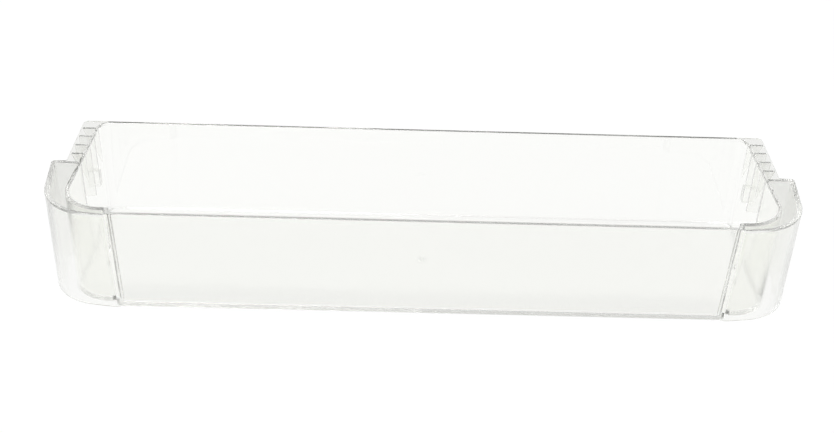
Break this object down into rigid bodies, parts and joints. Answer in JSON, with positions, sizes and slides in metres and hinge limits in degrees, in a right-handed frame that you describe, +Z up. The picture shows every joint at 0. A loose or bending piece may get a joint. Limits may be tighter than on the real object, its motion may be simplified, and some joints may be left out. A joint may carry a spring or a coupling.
{
  "type": "fridge door shelf",
  "caption": "Long clear plastic fridge door shelf: a deep tray with rounded hollow end caps, a flat rim, and side slots that hook it onto bosses of the door lining.",
  "frame": {"origin": "on the underside, at the middle of the width and of the depth", "axes": "+X along the shelf, +Y towards the door that it hangs on, +Z up"},
  "size_m": [0.49, 0.12, 0.071],
  "materials": {
    "clear_plastic": "clear, glossy moulded polystyrene with a very faint grey-green tint at the edges"
  },
  "bodies": {
    "root": {"door_shelf": "clear_plastic"}
  },
  "joints": []
}
